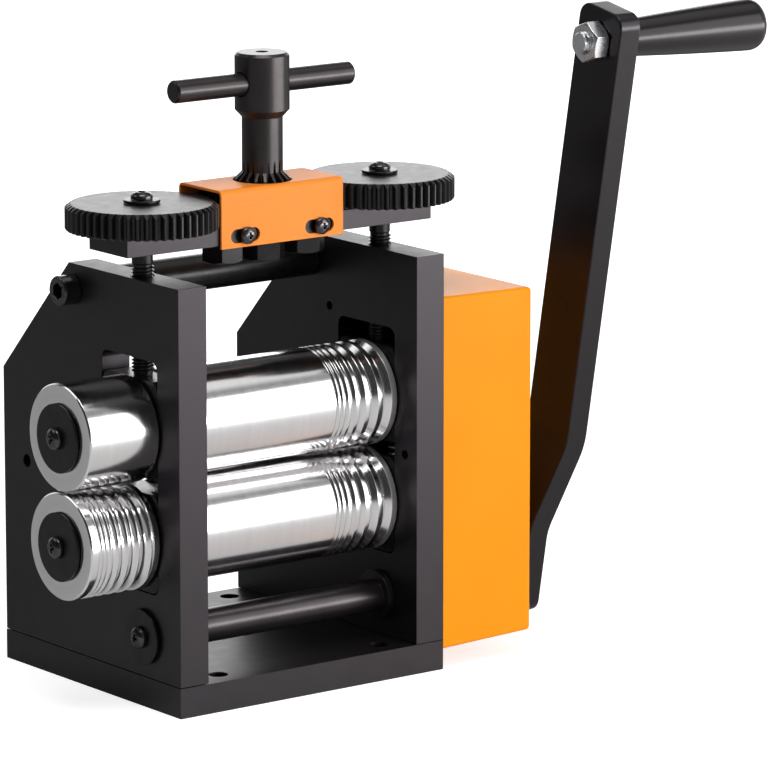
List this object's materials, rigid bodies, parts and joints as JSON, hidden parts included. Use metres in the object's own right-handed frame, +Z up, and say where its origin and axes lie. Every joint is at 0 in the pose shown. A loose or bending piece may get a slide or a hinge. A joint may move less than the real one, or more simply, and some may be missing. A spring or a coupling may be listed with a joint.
{
  "type": "rolling mill",
  "caption": "Hand-cranked jeweller's rolling mill with grooved rollers, side rollers, geared T-handle roll adjustment and an orange gear cover.",
  "frame": {"origin": "centre of the base plate's underside", "axes": "+X along the rollers towards the crank, +Y from the front to the back, +Z up"},
  "size_m": [0.3362, 0.1663, 0.2871],
  "materials": {
    "black_plate": "black oxide, satin",
    "black_bar": "black oxide, satin",
    "black_arm": "black, satin",
    "black_fittings": "black oxide",
    "dark_steel": "dark machined steel",
    "polished_roller": "ground and polished steel",
    "orange_cover": "gloss orange",
    "orange_guard": "satin orange",
    "spring_steel": "bright spring wire",
    "zinc_plate": "zinc plated",
    "black_grip": "smooth black plastic"
  },
  "bodies": {
    "frame": {"base_plate": "black_plate", "left_side_plate": "black_plate", "right_side_plate": "black_plate", "tie_bar": "black_fittings", "tie_bar_screw_left": "black_fittings", "tie_bar_screw_right": "black_fittings", "base_screw_left_front": "black_fittings", "base_screw_left_back": "black_fittings", "base_screw_right_front": "black_fittings", "base_screw_right_back": "black_fittings", "lower_bearing_block_left": "black_fittings", "lower_bearing_block_right": "black_fittings", "gear_cover": "orange_cover", "gear_cover_screw_top": "black_fittings", "gear_cover_screw_bottom": "black_fittings", "left_front_spring": "spring_steel", "left_back_spring": "spring_steel", "right_front_spring": "spring_steel", "right_back_spring": "spring_steel"},
    "lower_roller_unit": {"lower_roller": "polished_roller", "lower_side_roller": "polished_roller", "lower_side_washer": "black_fittings", "lower_side_screw": "black_fittings", "lower_gear_cluster": "dark_steel"},
    "upper_roller_unit": {"upper_roller": "polished_roller", "upper_side_roller": "polished_roller", "upper_side_washer": "black_fittings", "upper_side_screw": "black_fittings", "upper_roller_gear": "dark_steel"},
    "carriage": {"upper_bearing_block_left": "black_fittings", "upper_bearing_block_right": "black_fittings", "bridge_bar": "black_bar", "pinion_guard": "orange_guard", "guard_screw_left": "black_fittings", "guard_screw_right": "black_fittings", "left_idler_stud": "black_fittings", "pinion_stud": "black_fittings", "right_idler_stud": "black_fittings"},
    "left_screw_unit": {"left_adjusting_screw": "black_fittings", "left_adjusting_gear": "dark_steel", "left_gear_washer": "black_fittings", "left_gear_screw": "black_fittings"},
    "right_screw_unit": {"right_adjusting_screw": "black_fittings", "right_adjusting_gear": "dark_steel", "right_gear_washer": "black_fittings", "right_gear_screw": "black_fittings"},
    "left_idler": {"left_idler_gear": "dark_steel"},
    "right_idler": {"right_idler_gear": "dark_steel"},
    "tee_handle": {"tee_spindle": "dark_steel", "tee_bar": "dark_steel", "tee_set_screw": "black_fittings"},
    "crank": {"crank_shaft": "dark_steel", "crank_pinion": "dark_steel", "crank_arm": "black_arm", "crank_arm_screw": "black_fittings", "crank_end_washer": "black_fittings", "crank_end_screw": "black_fittings", "grip_bolt": "zinc_plate", "grip_nut": "zinc_plate"},
    "grip": {"crank_grip": "black_grip"}
  },
  "joints": [
    {"name": "roll_gap", "type": "slide", "parent": "frame", "child": "carriage", "axis": [0, 0, 1], "range_m": [-0.0004, 0.005], "deforming": ["left_front_spring", "left_back_spring", "right_front_spring", "right_back_spring"]},
    {"name": "upper_roller_spin", "type": "hinge", "parent": "carriage", "child": "upper_roller_unit", "pos_m": [0, -0.03, 0.1193], "axis": [1, 0, 0], "continuous": true},
    {"name": "lower_roller_spin", "type": "hinge", "parent": "frame", "child": "lower_roller_unit", "pos_m": [0, -0.03, 0.0728], "axis": [1, 0, 0], "continuous": true},
    {"name": "crank_spin", "type": "hinge", "parent": "frame", "child": "crank", "pos_m": [0, -0.0395, 0.03066], "axis": [1, 0, 0], "continuous": true},
    {"name": "grip_spin", "type": "hinge", "parent": "crank", "child": "grip", "pos_m": [0, -0.08455, 0.27138], "axis": [1, 0, 0], "continuous": true},
    {"name": "tee_handle_turn", "type": "hinge", "parent": "carriage", "child": "tee_handle", "pos_m": [0, -0.03, 0.24], "axis": [0, 0, 1], "range_deg": [-278, 3468]},
    {"name": "left_idler_turn", "type": "hinge", "parent": "carriage", "child": "left_idler", "pos_m": [-0.021, -0.03, 0.21], "axis": [0, 0, 1], "range_deg": [-3672, 295]},
    {"name": "right_idler_turn", "type": "hinge", "parent": "carriage", "child": "right_idler", "pos_m": [0.021, -0.03, 0.21], "axis": [0, 0, 1], "range_deg": [-3672, 295]},
    {"name": "left_screw_turn", "type": "hinge", "parent": "carriage", "child": "left_screw_unit", "pos_m": [-0.0624, -0.03, 0.21], "axis": [0, 0, 1], "range_deg": [-97, 1201]},
    {"name": "right_screw_turn", "type": "hinge", "parent": "carriage", "child": "right_screw_unit", "pos_m": [0.0624, -0.03, 0.21], "axis": [0, 0, 1], "range_deg": [-97, 1201]}
  ],
  "couplings": [
    {"joint": "lower_roller_spin", "follows": "crank_spin", "ratio": -0.3871},
    {"joint": "upper_roller_spin", "follows": "crank_spin", "ratio": 0.3871},
    {"joint": "tee_handle_turn", "follows": "roll_gap", "rad_per_m": 12101},
    {"joint": "left_idler_turn", "follows": "roll_gap", "rad_per_m": -12813},
    {"joint": "right_idler_turn", "follows": "roll_gap", "rad_per_m": -12813},
    {"joint": "left_screw_turn", "follows": "roll_gap", "rad_per_m": 4188.8},
    {"joint": "right_screw_turn", "follows": "roll_gap", "rad_per_m": 4188.8}
  ]
}
